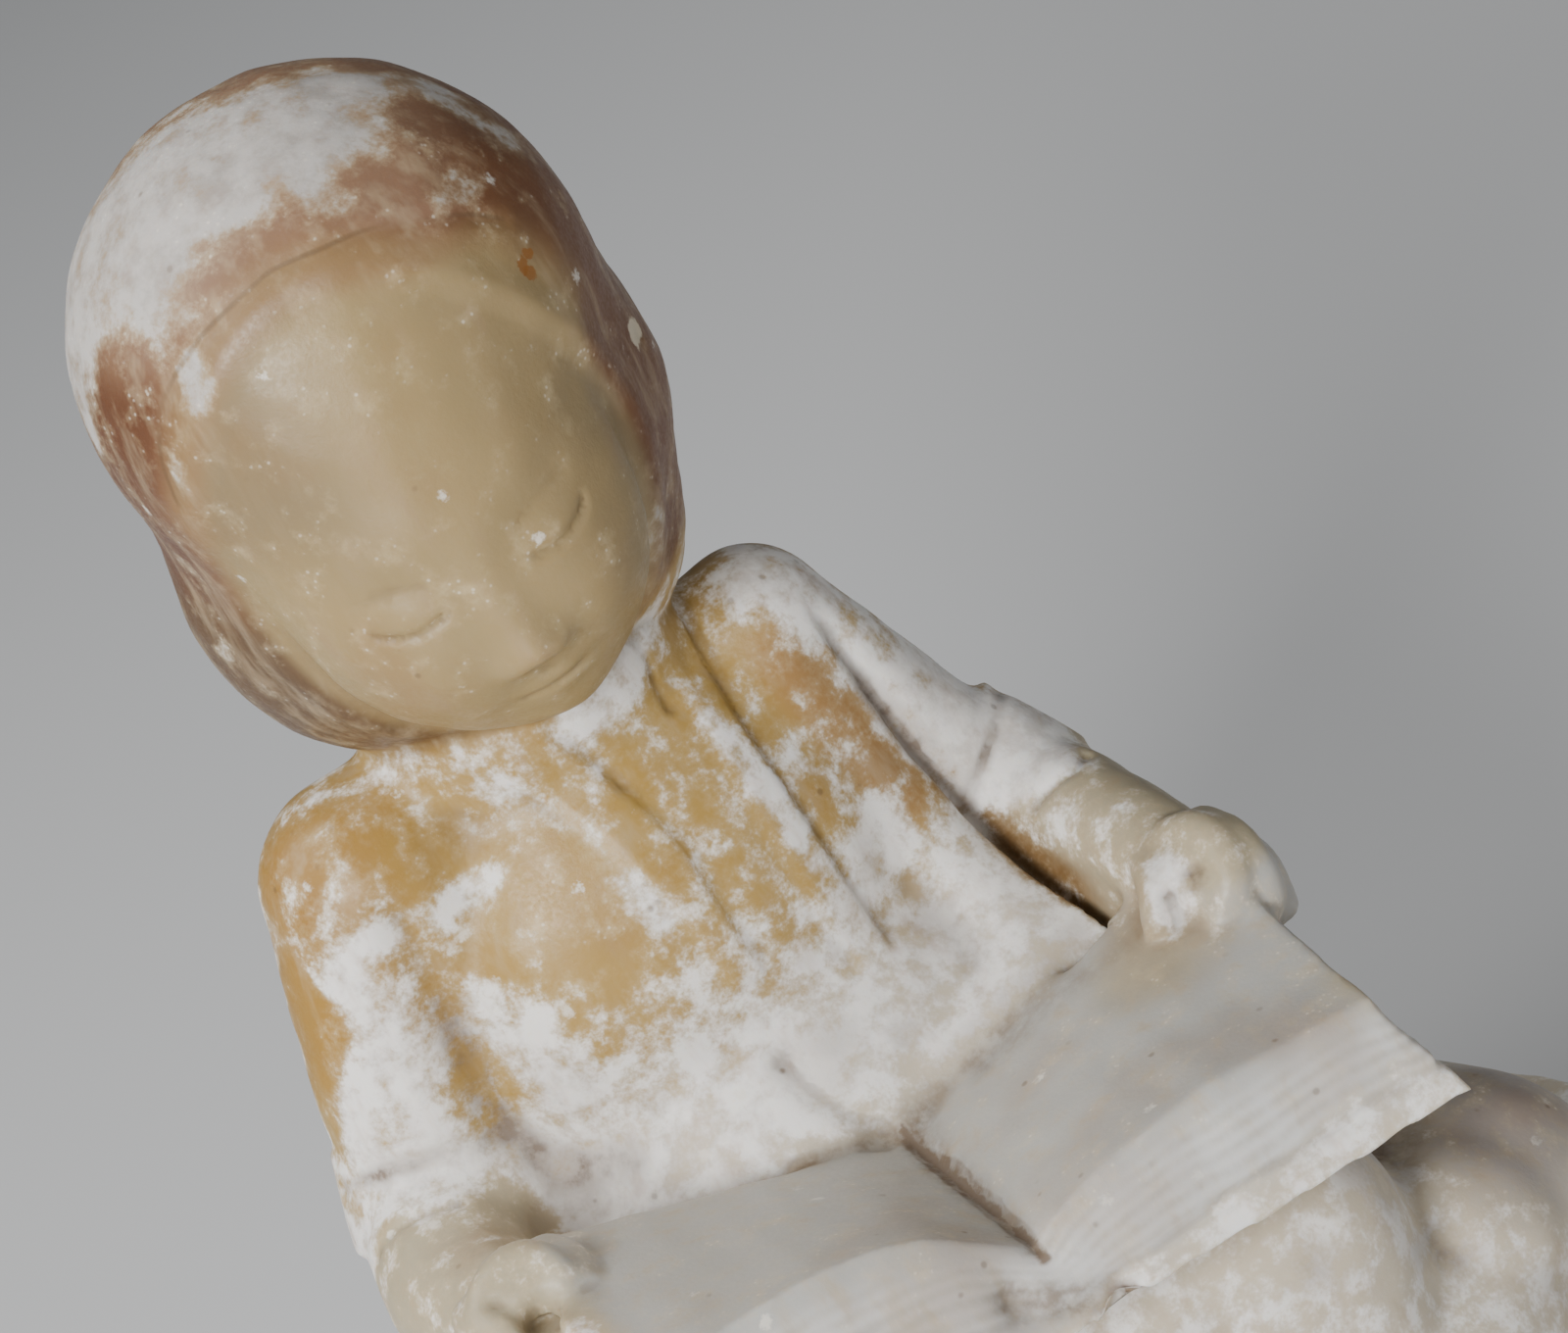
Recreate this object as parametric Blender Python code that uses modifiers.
"""Alabaster statuette of a seated child in a hood, reading an open book.

The figure, its book and its low plinth are one block of stone, so they are one
solid. The figure is blocked out from plain rounded forms, fused and rubbed
smooth, then carved by moving the skin in and out. Metres, +Z up, the child
faces -Y, and the origin is the centre of the plinth's underside.
"""

import math

import bmesh
import bpy
import numpy as np
from mathutils import Euler, Matrix, Vector

# Driving dimensions
FIGURE_HEIGHT = 0.1385
PLINTH_LENGTH = 0.116
PLINTH_WIDTH = 0.096
PLINTH_HEIGHT = 0.008
PLINTH_EDGE = 0.002
PAGE_WIDTH = 0.031
PAGE_HEIGHT = 0.026
BOOK_THICKNESS = 0.0056
COVER_OVERHANG = 0.0022

# The figure is laid out in its own unit, a share of its height above the plinth
UNIT_COUNT = 138.5
UNIT = FIGURE_HEIGHT / UNIT_COUNT
BACK_FROM_BOOK = 12  # how far the figure sits back, so that it is centred on its plinth

FORM_VOXEL = 1.1 * UNIT
CARVE_VOXEL = 0.8 * UNIT
FIGURE_TRIANGLES = 9000
HONEY = (0.55, 0.40, 0.24, 1)


def place(x, y, z):
    """A point of the figure, in figure units above the plinth's top."""
    return Vector((x * UNIT, (y + BACK_FROM_BOOK) * UNIT, z * UNIT + PLINTH_HEIGHT))


def units(points):
    """The figure units of one point or of many, which undoes place."""
    return np.array(points) / UNIT - (0, BACK_FROM_BOOK, PLINTH_HEIGHT / UNIT)


def ellipsoid(name, centre, radii, turn=(0, 0, 0)):
    bpy.ops.mesh.primitive_uv_sphere_add(segments=48, ring_count=28, radius=1)
    form = bpy.context.object
    form.name = name
    turned = Euler([math.radians(v) for v in turn]).to_matrix().to_4x4()
    size = Matrix.Diagonal([r * UNIT for r in radii]).to_4x4()
    form.data.transform(Matrix.Translation(centre) @ turned @ size)
    return form


def block(name, centre, size, edge, tilt):
    """A box with rounded edges, tilted sideways."""
    bpy.ops.mesh.primitive_cube_add(size=1)
    form = bpy.context.object
    form.data.transform(Matrix.Diagonal([v * UNIT for v in size]).to_4x4())
    rounded = form.modifiers.new("edge", "BEVEL")
    rounded.width = edge * UNIT
    rounded.segments = 6
    made = mesh_of(form, name)
    bpy.data.objects.remove(form)
    turned = Matrix.Rotation(math.radians(tilt), 4, "Y")
    made.data.transform(Matrix.Translation(place(*centre)) @ turned)
    return made


def limb(name, stops, ends=True):
    """A round limb through stops of (point, radius), with a ball at each end."""
    curve = bpy.data.curves.new(name, "CURVE")
    curve.dimensions = "3D"
    curve.bevel_depth = UNIT
    curve.bevel_resolution = 6
    curve.use_fill_caps = True
    spline = curve.splines.new("BEZIER")
    spline.bezier_points.add(len(stops) - 1)
    for knot, (point, radius) in zip(spline.bezier_points, stops):
        knot.co = place(*point)
        knot.radius = radius
        knot.handle_left_type = knot.handle_right_type = "AUTO"
    path = bpy.data.objects.new(name, curve)
    bpy.context.scene.collection.objects.link(path)
    solid = mesh_of(path, name)
    bpy.data.objects.remove(path)
    if not ends:
        return [solid]
    balls = [ellipsoid(name, place(*point), (radius,) * 3) for point, radius in (stops[0], stops[-1])]
    return [solid] + balls


def mesh_of(thing, name):
    """A mesh object with the shape that a curve or a modified object shows."""
    bpy.context.view_layer.update()
    graph = bpy.context.evaluated_depsgraph_get()
    mesh = bpy.data.meshes.new_from_object(thing.evaluated_get(graph))
    mesh.transform(thing.matrix_world)
    made = bpy.data.objects.new(name, mesh)
    bpy.context.scene.collection.objects.link(made)
    work = bmesh.new()
    work.from_mesh(mesh)
    bmesh.ops.remove_doubles(work, verts=work.verts, dist=1e-6)
    work.to_mesh(mesh)
    work.free()
    return made


def fused(name, forms, voxel, smoothing):
    """The forms as one closed skin, rubbed smooth."""
    mesh = bpy.data.meshes.new(name)
    work = bmesh.new()
    for form in forms:
        work.from_mesh(form.data)
        bpy.data.objects.remove(form)
    work.to_mesh(mesh)
    work.free()
    rough = bpy.data.objects.new(name, mesh)
    bpy.context.scene.collection.objects.link(rough)
    skin = rough.modifiers.new("skin", "REMESH")
    skin.mode = "VOXEL"
    skin.voxel_size = voxel
    rub = rough.modifiers.new("rub", "SMOOTH")
    rub.iterations = smoothing
    made = mesh_of(rough, name)
    bpy.data.objects.remove(rough)
    return made


# The body under the dress, from the seat to the neck: name, centre and half sizes
BODY = [
    ("seat", (0, -12, 1), (38, 28, 8)),
    ("hips", (0, 6, 20), (29, 21, 21)),
    ("belly", (0, -1, 40), (25, 20.5, 22)),
    ("chest", (-1, 1, 60), (22, 16.5, 24)),
    ("shoulders", (-1.5, 2, 73), (22, 11.5, 10)),
    ("neck", (-1, 1, 84), (13, 11, 11)),
    ("back", (0, 5, 50), (23, 16, 37)),
    ("left of the belly", (-19, -11, 33), (14, 17, 16)),
    ("right of the belly", (19, -11, 31), (14, 17, 16)),
    ("under the left page", (-17, -28, 35), (13, 15, 9)),
    ("hem", (0, -33, 5), (33, 19, 12)),
]

# The front of the dress: its right side down to the page, its fullness behind the page, and the
# stone left between it and each arm. A stop is a point and a radius.
FRONTS = [
    [((15.6, -2.4, 74), 5), ((16.4, -4.4, 63), 5), ((18.6, -7.6, 52), 5.2), ((20.6, -13.4, 46), 5.2)],
    [((2, -15.6, 40.5), 4.5), ((12, -15, 42.5), 4.8), ((20.6, -13.4, 45.5), 5.2)],
    [((20, -1, 53), 6.5), ((25.5, -7, 48), 6), ((29.5, -16, 45.5), 4.6)],
    [((-20, -1, 50), 6.5), ((-25.5, -9, 45.5), 6), ((-28, -18, 46.5), 5)],
]

# The legs are crossed under the skirt, which hangs from the lap over the shins. The lap is a
# rounded box, tilted up under the higher page: centre, size, edge and tilt in degrees. The legs
# are the right one's, and the left one's mirror them.
LAP = ((0, -27, 17.5), (61, 37, 42), 12, 7)
THIGH = [((14, 4, 15), 15), ((28, -12, 13), 13.5), ((38, -24, 9), 12)]
SHIN = [((38, -24, 9), 11), ((20, -38, 6), 10.5), ((-8, -40, 4), 9)]
TOE = ((11, -47, 2), (5.5, 8, 4.5), 25)


def mirrored(stops, side):
    return [((side * point[0], point[1], point[2]), radius) for point, radius in stops]


def body_forms():
    forms = [ellipsoid(name, place(*centre), radii) for name, centre, radii in BODY]
    forms.append(block("lap", *LAP))
    for front in FRONTS:
        forms += limb("front", front)
    toe, toe_radii, toe_turn = TOE
    for side in (-1, 1):
        forms += limb("thigh", mirrored(THIGH, side))
        forms += limb("shin", mirrored(SHIN, side))
        centre = place(side * toe[0], toe[1], toe[2])
        forms.append(ellipsoid("toe", centre, toe_radii, (0, 0, side * toe_turn)))
    return forms


# The sleeves hang from the shoulders and end in turned-up cuffs at the elbows
SLEEVES = [
    [((-18.6, 1, 77.5), 9), ((-24.2, 0, 61), 8.5), ((-26.4, -1.5, 52), 8)],
    [((16.7, 1, 76.3), 7.0), ((22.3, 0, 62.7), 6.4), ((27.6, -2, 51.4), 6.0)],
]
CUFFS = [
    [((-25, 1.2, 58), 8.5), ((-27.4, -2.4, 50.4), 9.2)],
    [((24.9, 0.8, 58.6), 6.3), ((28.6, -3.9, 50.8), 6.9)],
]
FOREARMS = [
    [((-28.5, -3, 52.5), 6.8), ((-30.8, -12, 50.8), 6.3), ((-29.6, -21, 51.5), 4.8)],
    [((28.9, -5, 52.4), 5.3), ((30.5, -12, 51.4), 4.6), ((31.6, -19, 50), 4.3)],
]

# Each fist holds a page's near corner, with its thumb on the page
FISTS = [((-28.6, -27, 53.6), 4.6), ((32.6, -24.5, 48.4), 4.7)]
FINGERS = [
    [((-30.8, -26.9, 57.2), 1.7), ((-28.7, -26.4, 57.8), 1.8), ((-26.6, -27, 57.3), 1.8),
     ((-25.7, -28.9, 56), 1.7), ((-26.5, -30.6, 54), 1.5)],
    [((-32.3, -26.2, 55.8), 2.0), ((-31.8, -28.6, 55.6), 2.2), ((-30.8, -31, 53.6), 2.1),
     ((-30, -32, 51), 1.8)],
    [((-33.6, -25, 53.4), 1.9), ((-33.4, -28.4, 52.6), 2.0), ((-32.4, -30.6, 50.2), 1.8)],
    [((-25.4, -22, 54.4), 1.9), ((-24.2, -26, 55.2), 1.6), ((-24.3, -30, 54.6), 1.3)],
    [((30.5, -22.3, 51.5), 1.6), ((32.6, -22.8, 52.4), 1.8), ((33.9, -26.2, 52.2), 1.8),
     ((33.4, -28.5, 50), 1.7), ((31.2, -28.8, 47.6), 1.5)],
    [((35, -22.6, 51.4), 1.8), ((35.7, -26.6, 50.4), 1.8), ((35.2, -28.2, 47), 1.8),
     ((33.4, -27.6, 44.8), 1.6)],
    [((36, -21.6, 48.6), 1.7), ((36.7, -25.2, 47.4), 1.7), ((36.2, -26.6, 44.4), 1.6)],
    [((30.4, -21, 51.4), 1.7), ((28.8, -24.6, 50.9), 1.6), ((27.3, -26.2, 49), 1.4)],
]


def sleeve_forms():
    return [form for sleeve in SLEEVES for form in limb("sleeve", sleeve)]


def arm_forms():
    forms = [ellipsoid("fist", place(*fist), (radius,) * 3) for fist, radius in FISTS]
    for cuff in CUFFS:
        forms += limb("cuff", cuff, ends=False)
    for forearm in FOREARMS:
        forms += limb("forearm", forearm)
    for finger in FINGERS:
        forms += limb("finger", finger)
    return forms


# The head is bowed over the book and turned a little to the child's right
HEAD_CENTRE = (0, -6, 112)
HEAD_TURN = (15, -2, -8)
HEAD = [
    ("skull", (0.8, 3, 5.6), (20.3, 20.5, 20.4)),
    ("hood", (-1.6, 3, -8), (18.7, 16.6, 17.6)),
    ("right temple", (8.6, 3, -7.5), (12.5, 14.1, 15.2)),
    ("back of the hood", (0, 5.5, -6), (17.8, 17.1, 24.1)),
    ("left lobe", (-8.4, 2, -12.2), (13.3, 13.2, 16.8)),
    ("right lobe", (6.2, 3, -12.6), (11.9, 13.2, 20.6)),
    ("face", (0, -7, -6), (15.7, 14.9, 19.4)),
]


def head_matrix():
    turned = Euler([math.radians(v) for v in HEAD_TURN]).to_matrix().to_4x4()
    return Matrix.Translation(place(*HEAD_CENTRE)) @ turned


def head_forms():
    forms = [ellipsoid(name, Vector(centre) * UNIT, radii) for name, centre, radii in HEAD]
    for form in forms:
        form.data.transform(head_matrix())
    return forms


# The open book lies on the lap, with its left page higher than its right
BOOK_NEAR = (3, -20.5, 43.5)
BOOK_CUTS = 40


def page_rise(across, along):
    """Height of the page over the gutter, in figure units. across runs from -1 at the
    left edge to 1 at the right, and along from 0 at the child to 1 at the far edge."""
    reach = abs(across)
    if across < 0:
        near = 13.5 * reach
        far = 8.5 * (1 - math.exp(-((5 * reach) ** 1.3))) + 2 * reach
        return near + (far - near) * along
    far = 2.6 * (1 - math.exp(-7 * reach)) - 2.2 * max(reach - 0.55, 0) / 0.45
    return far + (7.6 * reach - far) * (1 - along) ** 1.6


def book_point(across, along, down):
    """A point of the book. down runs from 0 on the pages to 1 under the cover, which
    stands out beyond the pages all round."""
    top = page_rise(across, along) * UNIT
    under = (6.4 if across < 0 else -3.0) * abs(across) * UNIT - BOOK_THICKNESS
    width = PAGE_WIDTH + COVER_OVERHANG * down
    reach = (PAGE_HEIGHT + 2 * COVER_OVERHANG * down) * along
    slant = 0.045 * PAGE_HEIGHT * along
    return place(*BOOK_NEAR) + Vector((across * width, -reach, top + (under - top) * down + slant))


def book_form():
    bpy.ops.mesh.primitive_cube_add(size=2)
    book = bpy.context.object
    book.name = "book"
    work = bmesh.new()
    work.from_mesh(book.data)
    bmesh.ops.subdivide_edges(work, edges=work.edges, cuts=BOOK_CUTS, use_grid_fill=True)
    for vertex in work.verts:
        vertex.co = book_point(vertex.co.x, (1 - vertex.co.y) / 2, (1 - vertex.co.z) / 2)
    work.to_mesh(book.data)
    work.free()
    return book


def plinth_form():
    bpy.ops.mesh.primitive_cylinder_add(vertices=72, radius=0.5, depth=1)
    plinth = bpy.context.object
    size = Matrix.Diagonal((PLINTH_LENGTH, PLINTH_WIDTH, PLINTH_HEIGHT)).to_4x4()
    plinth.data.transform(Matrix.Translation((0, 0, PLINTH_HEIGHT / 2)) @ size)
    edge = plinth.modifiers.new("edge", "BEVEL")
    edge.width = PLINTH_EDGE
    edge.segments = 2
    edge.limit_method = "ANGLE"
    made = mesh_of(plinth, "plinth")
    bpy.data.objects.remove(plinth)
    return made


# Carving: each cut returns how far, in figure units, the skin moves out at each point
def away(points, path):
    """Distance of each point from a path of straight runs."""
    nearest = np.full(len(points), np.inf)
    for start, stop in zip(np.array(path[:-1], float), np.array(path[1:], float)):
        run = stop - start
        share = np.clip((points - start) @ run / (run @ run), 0, 1)
        gap = np.linalg.norm(points - start - share[:, None] * run, axis=1)
        nearest = np.minimum(nearest, gap)
    return nearest


def line(points, path, width, rise):
    """A rounded line along a path: a groove where rise is below 0, a ridge above it."""
    return rise * np.exp(-((away(points, path) / width) ** 2))


def swell(points, centre, radii, rise):
    """A soft mound, or a hollow where rise is below 0."""
    return rise * np.exp(-(((points - centre) / radii) ** 2).sum(axis=1))


def ramp(value, start, stop):
    """Rises smoothly from 0 at start to 1 at stop."""
    share = np.clip((value - start) / (stop - start), 0, 1)
    return share * share * (3 - 2 * share)


# The two ends of the hood's ribbon hang down the dress: height, left edge, right edge
RIBBONS = [
    [(60, -2.4, 1.3), (63, -2.5, 1.2), (67.3, -2.8, 1.1), (71.2, -3.6, 1.3), (75, -4.4, 0.6), (86, -9, -3)],
    [(54.5, 6.9, 10.9), (61.2, 6.5, 10.6), (71.1, 6.5, 10.6), (76, 7, 10.8), (83, 8, 12.3)],
]
RIBBON_RISE = 0.5
RIBBON_EDGE = 0.7

# Creases: path, half width and rise
CREASES = [
    ([(-20.4, -8, 69), (-21, -8, 64), (-21.8, -8, 58)], 1.8, -0.8),
    ([(-1.6, -17.1, 53.1), (-0.8, -18.7, 50.2), (0.3, -20, 47.4), (1.7, -20.7, 45.5)], 0.9, -0.5),
    ([(15.4, -10, 56), (16.6, -13, 50)], 1.4, -0.5),
    ([(30.5, -1.7, 60.4), (28.2, -6.4, 60.6), (25, -8, 58.4)], 0.9, -0.6),
    ([(-33.5, -1, 58), (-30.6, -6.5, 60), (-27, -8.5, 59.6), (-23, -8.8, 58)], 0.9, -0.3),
    ([(-9, -47, 26), (-12, -49, 8)], 2.2, -0.9),
    ([(12, -47, 28), (9, -49, 10)], 2.2, -0.9),
    ([(32.8, -31, 18.8), (31.4, -37.2, 17), (33.3, -38.6, 14.5), (38.3, -37.8, 9.4)], 1.6, -0.9),
]


def dress_cuts(points, normals):
    rise = np.zeros(len(points))
    for path, width, height in CREASES:
        rise += line(points, path, width, height)
    front = ramp(-normals[:, 1], 0.2, 0.5)
    x, y, z = points.T
    for ribbon in RIBBONS:
        heights, lefts, rights = zip(*ribbon)
        inside = ramp(x - np.interp(z, heights, lefts), 0, 2 * RIBBON_EDGE)
        inside *= ramp(np.interp(z, heights, rights) - x, 0, RIBBON_EDGE)
        inside *= ramp(z, heights[0] - RIBBON_EDGE, heights[0])
        inside *= ramp(-z, -heights[-1] - 2, -heights[-1] + 4)
        rise += RIBBON_RISE * inside * front
    return rise


# The dress stands clear of the right arm: a slot runs down beside its edge, from the armpit to the
# page, and is deepest at the page. It is cut straight into the stone.
DRESS_EDGE = [
    (25.6, -17.6, 46.2), (24.6, -15.2, 48.8), (23.2, -10.9, 51.8), (21.9, -9, 56.9),
    (20.9, -8, 63.1), (20.1, -6.4, 74.3),
]
SLOT_DEPTHS = [(46, 3.5), (52, 3), (60, 1.6), (76, 0.8)]
INTO_SLOT = (-0.2, 0.95, -0.25)


def slot_cuts(points):
    x, y, z = points.T
    edge_x, edge_y, edge_z = zip(*DRESS_EDGE)
    heights, depths = zip(*SLOT_DEPTHS)
    outside = x - np.interp(z, edge_z, edge_x)
    slot = ramp(outside, -0.1, 0.7) * np.exp(-((np.maximum(outside - 1, 0) / 1.5) ** 2))
    slot *= np.exp(-((away(points, DRESS_EDGE) / 3.2) ** 2)) * (y < 0)
    return np.interp(z, heights, depths) * slot


# The hood's rim is an oval round the face, in the head's own frame
RIM_CENTRE = (-0.4, -3)
RIM_RADII = (15.8, 22.5)
RIM_STEP = 0.5


def rim_cuts(points):
    """The face sinks inside the hood's rim, deeper beside the cheeks."""
    x, y, z = points.T
    rim = np.hypot((x - RIM_CENTRE[0]) / RIM_RADII[0], (z - RIM_CENTRE[1]) / RIM_RADII[1])
    front = ramp(-y, -4, 2) * ramp(z, -24, -18)
    cheeks = ramp(-z, -6, 14)
    sunk = -RIM_STEP * (1 - ramp(rim, 0.93, 1.04))
    crease = -0.7 * cheeks * np.exp(-(((rim - 0.97) * 16) ** 2))
    return (sunk + crease) * front


# The face: mounds and hollows (x, z, half width, half height, rise), mirrored if beside the nose
FACE = [
    (0, 8, 10, 6, 0.5),
    (6.4, 2.4, 4.6, 2.2, 0.25),
    (6.3, -2.4, 4.6, 3, -0.7),
    (6.6, -3.2, 2.9, 1.9, 0.85),
    (0, -3.5, 2.2, 4.5, 0.35),
    (0, -7.6, 2, 2.6, 0.6),
    (0, -10.3, 2.1, 1.9, 1.5),
    (2.1, -11, 1.3, 1.2, 0.7),
    (8.2, -11, 5.6, 6, 1.5),
    (1.2, -15.3, 1.6, 0.9, 0.6),
    (0, -16.3, 3, 0.5, -0.5),
    (0, -17.3, 2.3, 1, 0.75),
    (0, -19.2, 3, 0.9, -0.4),
    (0, -21.8, 4.2, 3, 1),
]


def face_cuts(points):
    x, y, z = points.T
    rise = np.zeros(len(points))
    for fx, fz, wide, high, height in FACE:
        for side in (-1, 1) if fx else (1,):
            rise += height * np.exp(-(((x - side * fx) / wide) ** 2) - ((z - fz) / high) ** 2)
    return rise * ramp(-y, 6, 11)


# The fists: the hollows pinched between thumb and finger, with radius and rise, and the line
# along each thumb
FIST_HOLLOWS = [
    ((-28.5, -31.5, 56), 1.3, -2.4),
    ((30.8, -28.2, 52.2), 1.2, -2.4),
    ((-27.1, -22.9, 57), 1.2, -1.4),
]
THUMB_LINES = [
    [(30.6, -28.6, 52), (28.9, -27, 50.8), (28.4, -27, 48)],
    [(-31, -29, 57.8), (-29.5, -31, 56.8), (-27, -32, 53)],
]


def hand_cuts(points):
    rise = np.zeros(len(points))
    for centre, radius, height in FIST_HOLLOWS:
        rise += swell(points, centre, radius, height)
    for path in THUMB_LINES:
        rise += line(points, path, 0.7, -0.7)
    return rise


def book_cuts(points):
    """The gutter between the pages, and the line between the pages and the cover."""
    gutter = [units(book_point(0, along, 0)) for along in (0.05, 0.5, 1)]
    seam = [units(book_point(across, 1, 0.72)) for across in np.linspace(-1, 1, 9)]
    return line(points, gutter, 0.9, -1.1) + line(points, seam, 0.7, -0.5)


def carve(figure):
    """Moves the skin out and in by all the cuts, and keeps it clear of the underside."""
    mesh = figure.data
    count = len(mesh.vertices)
    flat = np.empty(count * 3)
    mesh.vertices.foreach_get("co", flat)
    metres = flat.reshape(-1, 3)
    normals = np.empty(count * 3)
    mesh.vertices.foreach_get("normal", normals)
    normals = normals.reshape(-1, 3)
    points = units(metres)
    inverse = np.array(head_matrix().inverted())
    local = (metres @ inverse[:3, :3].T + inverse[:3, 3]) / UNIT
    on_head = ramp(-away(local, [(0, 0, -12), (0, 0, 4)]), -27, -24)
    rise = dress_cuts(points, normals) + hand_cuts(points) + book_cuts(points)
    rise += rim_cuts(local) * on_head
    forward = np.array(head_matrix().to_3x3() @ Vector((0, -1, 0)))
    moved = metres + normals * rise[:, None] * UNIT
    moved += np.array(INTO_SLOT) * slot_cuts(points)[:, None] * UNIT
    moved += forward * (face_cuts(local) * on_head)[:, None] * UNIT
    moved[:, 2] = np.maximum(moved[:, 2], PLINTH_HEIGHT / 2)
    mesh.vertices.foreach_set("co", moved.ravel())
    mesh.update()


def figure_form():
    soft = fused("soft", body_forms() + sleeve_forms(), FORM_VOXEL, 10)
    head = fused("head", head_forms(), FORM_VOXEL, 80)
    arms = fused("arms", arm_forms(), CARVE_VOXEL, 3)
    return fused("figure", [soft, head, arms, book_form()], CARVE_VOXEL, 2)


def main():
    for thing in list(bpy.data.objects):
        bpy.data.objects.remove(thing)
    figure = figure_form()
    carve(figure)
    thin = figure.modifiers.new("facets", "DECIMATE")
    thin.ratio = FIGURE_TRIANGLES / (2 * len(figure.data.polygons))
    joined = figure.modifiers.new("plinth", "BOOLEAN")
    joined.operation = "UNION"
    joined.solver = "EXACT"
    joined.object = plinth_form()
    statuette = mesh_of(figure, "reading_child")
    bpy.data.objects.remove(joined.object)
    bpy.data.objects.remove(figure)
    stone = bpy.data.materials.new("alabaster")
    stone.use_nodes = True
    shader = stone.node_tree.nodes["Principled BSDF"]
    shader.inputs["Base Color"].default_value = HONEY
    shader.inputs["Roughness"].default_value = 0.45
    statuette.data.materials.clear()
    statuette.data.materials.append(stone)


main()
